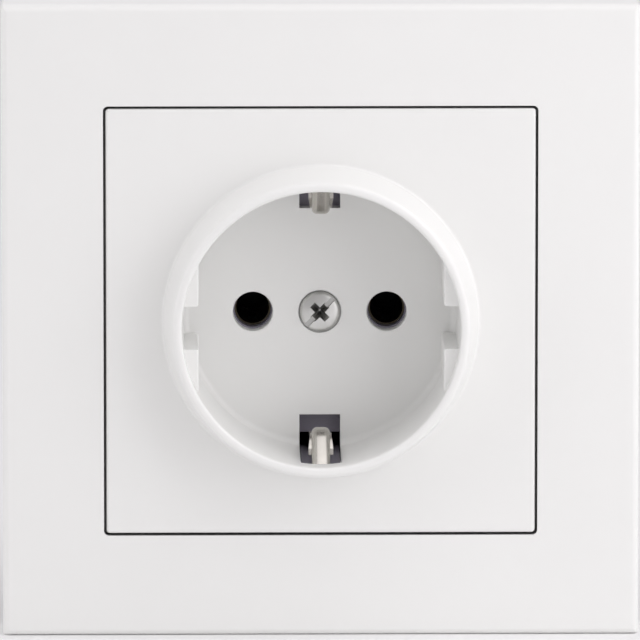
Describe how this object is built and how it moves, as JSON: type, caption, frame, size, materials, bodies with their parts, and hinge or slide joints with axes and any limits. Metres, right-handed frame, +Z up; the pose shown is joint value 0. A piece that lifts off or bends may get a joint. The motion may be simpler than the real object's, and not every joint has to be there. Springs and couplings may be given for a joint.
{
  "type": "type f wall socket",
  "caption": "Flush wall socket for an earthed round-pin plug: square cover frame, centre plate with a raised collar round the recess, spring earth clips and a screw-terminal base.",
  "frame": {"origin": "on the wall plane, on the axis of the round recess", "axes": "+Z up, +X to the right, +Y into the wall, the face looks along -Y"},
  "size_m": [0.09, 0.0439, 0.09],
  "materials": {
    "white_moulding": "satin gloss white moulding",
    "base_moulding": "dark grey-violet moulding",
    "rear_moulding": "dark grey moulding",
    "galvanised_steel": "galvanised sheet",
    "nickel_plate": "bright nickel plate",
    "contact_brass": "bright brass",
    "spring_steel": "blued spring steel",
    "screw_steel": "zinc plated steel",
    "zinc_clamp": "zinc plated steel",
    "rivet_metal": "plain aluminium"
  },
  "bodies": {
    "root": {"cover_frame": "white_moulding", "centre_plate": "white_moulding", "centre_screw": "screw_steel", "support_ring": "galvanised_steel", "socket_base": "base_moulding", "rear_cover": "rear_moulding", "earth_yoke": "nickel_plate", "earth_terminal_screw": "screw_steel", "earth_clamp_plate": "zinc_clamp", "ring_rivet_upper": "rivet_metal", "ring_rivet_lower": "rivet_metal", "line_contact": "contact_brass", "line_contact_spring": "spring_steel", "line_terminal_screw_upper": "screw_steel", "line_clamp_plate_upper": "zinc_clamp", "line_terminal_screw_lower": "screw_steel", "line_clamp_plate_lower": "zinc_clamp", "neutral_contact": "contact_brass", "neutral_contact_spring": "spring_steel", "neutral_terminal_screw_upper": "screw_steel", "neutral_clamp_plate_upper": "zinc_clamp", "neutral_terminal_screw_lower": "screw_steel", "neutral_clamp_plate_lower": "zinc_clamp"}
  },
  "joints": []
}
